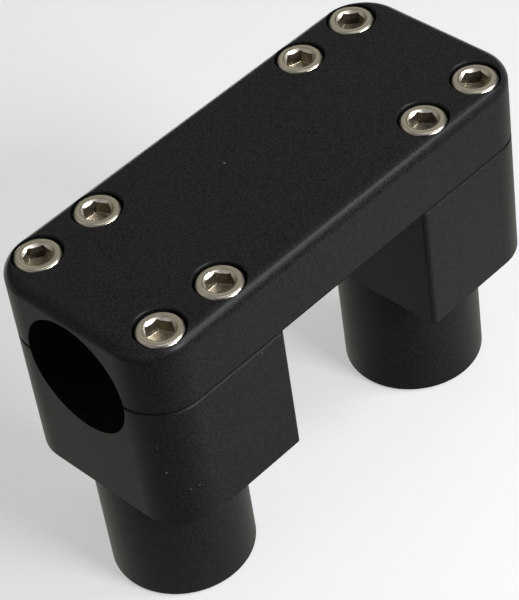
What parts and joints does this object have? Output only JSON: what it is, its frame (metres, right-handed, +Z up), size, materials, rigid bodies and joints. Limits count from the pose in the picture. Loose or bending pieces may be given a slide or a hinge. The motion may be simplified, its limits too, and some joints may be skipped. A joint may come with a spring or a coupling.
{
  "type": "handlebar riser",
  "caption": "Black machined handlebar risers on round posts, joined by a one-piece top clamp that stainless socket head cap screws pinch on the bar.",
  "frame": {"origin": "on the ground, midway between the two posts", "axes": "+X along the handlebar, +Y across it towards the rear long face, +Z up through the top clamp"},
  "size_m": [0.13, 0.056, 0.0954],
  "materials": {
    "black_anodised": "satin black anodised, with fine machining marks",
    "stainless": "bright stainless steel"
  },
  "bodies": {
    "root": {"top_clamp": "black_anodised", "riser_left": "black_anodised", "riser_right": "black_anodised", "screw_1": "stainless", "screw_2": "stainless", "screw_3": "stainless", "screw_4": "stainless", "screw_5": "stainless", "screw_6": "stainless", "screw_7": "stainless", "screw_8": "stainless"}
  },
  "joints": []
}
